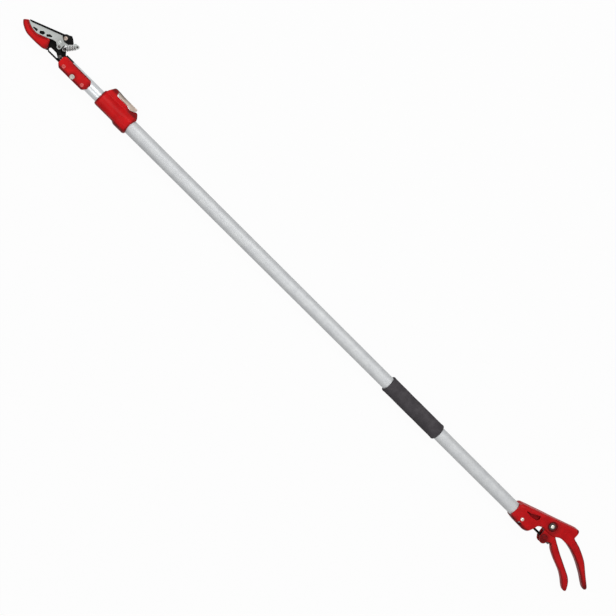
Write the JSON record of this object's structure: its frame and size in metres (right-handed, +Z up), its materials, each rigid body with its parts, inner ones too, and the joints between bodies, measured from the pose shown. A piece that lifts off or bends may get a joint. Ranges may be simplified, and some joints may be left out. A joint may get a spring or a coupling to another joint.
{
  "type": "telescopic tree pruner pole",
  "caption": "Long telescopic pole with a bypass pruning head at one end, worked through rods in the pole by a squeeze lever in the handle; a cam clamp sets its length.",
  "frame": {"origin": "on the resting plane under the pole axis, at the middle of the handle's tube socket", "axes": "+X along the pole to the cutting head, +Y towards the squeeze lever, +Z up from the side that it lies on"},
  "size_m": [1.5716, 0.1092, 0.0378],
  "materials": {
    "handle_red": "satin moulded red",
    "clamp_red": "satin moulded red",
    "painted_red": "smooth red enamel",
    "blasted_tube": "blasted and anodised",
    "drawn_tube": "drawn and anodised",
    "foam": "closed-cell foam",
    "black_steel": "black oxide",
    "blade_steel": "ground",
    "bright_steel": "turned and plated",
    "lever_steel": "dull zinc plated",
    "dark_steel": "dark plated",
    "spring_steel": "drawn wire",
    "black_plastic": "moulded black"
  },
  "bodies": {
    "handle": {"handle_body": "handle_red", "lever_pivot_bolt": "bright_steel", "pivot_washers": "dark_steel", "pivot_nut": "dark_steel", "socket_screw": "bright_steel", "tube_lock_screw": "black_steel", "outer_tube": "blasted_tube", "foam_grip": "foam", "rod_guide": "black_plastic", "clamp_body": "clamp_red", "clamp_screws": "black_steel", "clamp_sleeve": "black_plastic", "pressure_pad": "black_plastic", "clamp_pin": "dark_steel"},
    "trigger": {"handle_lever": "handle_red"},
    "drive": {"rod_stud": "black_steel", "trunnion": "handle_red", "stud_spacer": "dark_steel", "adjusting_nuts": "dark_steel", "drive_tube": "drawn_tube", "clutch_housing": "dark_steel", "clutch_plates": "bright_steel", "clutch_spring": "spring_steel"},
    "inner_pole": {"inner_tube": "drawn_tube", "inner_tube_bush": "black_plastic", "guide_plug": "black_plastic", "head_bracket": "painted_red", "bracket_bolts": "painted_red", "bracket_nuts": "dark_steel", "pinch_bolt": "bright_steel", "pinch_nut": "bright_steel", "head_frame": "black_steel", "counter_jaw": "painted_red", "jaw_screws": "dark_steel", "blade_pivot_bolt": "lever_steel", "blade_pivot_nut": "dark_steel", "pivot_spacer": "dark_steel", "spring_post": "dark_steel", "return_spring": "spring_steel"},
    "blade": {"blade_carrier": "black_steel", "cutting_blade": "blade_steel", "blade_screw": "blade_steel", "ear_pin": "dark_steel", "tail_post": "dark_steel"},
    "pull": {"pull_rod": "drawn_tube", "yoke": "black_steel", "yoke_rivet": "dark_steel"},
    "clamp_arm": {"clamp_lever": "lever_steel"}
  },
  "joints": [
    {"name": "trigger_squeeze", "type": "hinge", "parent": "handle", "child": "trigger", "pos_m": [-0.044, -0.0285, 0.018], "axis": [0, 0, -1], "range_deg": [0, 19]},
    {"name": "drive_slide", "type": "slide", "parent": "handle", "child": "drive", "axis": [1, 0, 0], "range_m": [0, 0.00959]},
    {"name": "pole_slide", "type": "slide", "parent": "handle", "child": "inner_pole", "axis": [1, 0, 0], "range_m": [0, 0.82]},
    {"name": "blade_swing", "type": "hinge", "parent": "inner_pole", "child": "blade", "pos_m": [1.297, -0.031, 0.018], "axis": [0, 0, -1], "range_deg": [0, 29.26], "deforming": ["return_spring"]},
    {"name": "pull_slide", "type": "slide", "parent": "inner_pole", "child": "pull", "axis": [1, 0, 0], "range_m": [0, 0.00959]},
    {"name": "clamp_lift", "type": "hinge", "parent": "handle", "child": "clamp_arm", "pos_m": [1.17, -0.0274, 0.018], "axis": [0, 0, 1], "range_deg": [0, 100]}
  ],
  "couplings": [
    {"joint": "drive_slide", "follows": "trigger_squeeze", "m_per_rad": 0.028764},
    {"joint": "pull_slide", "follows": "trigger_squeeze", "m_per_rad": 0.028764},
    {"joint": "blade_swing", "follows": "trigger_squeeze", "ratio": 1.5394}
  ]
}
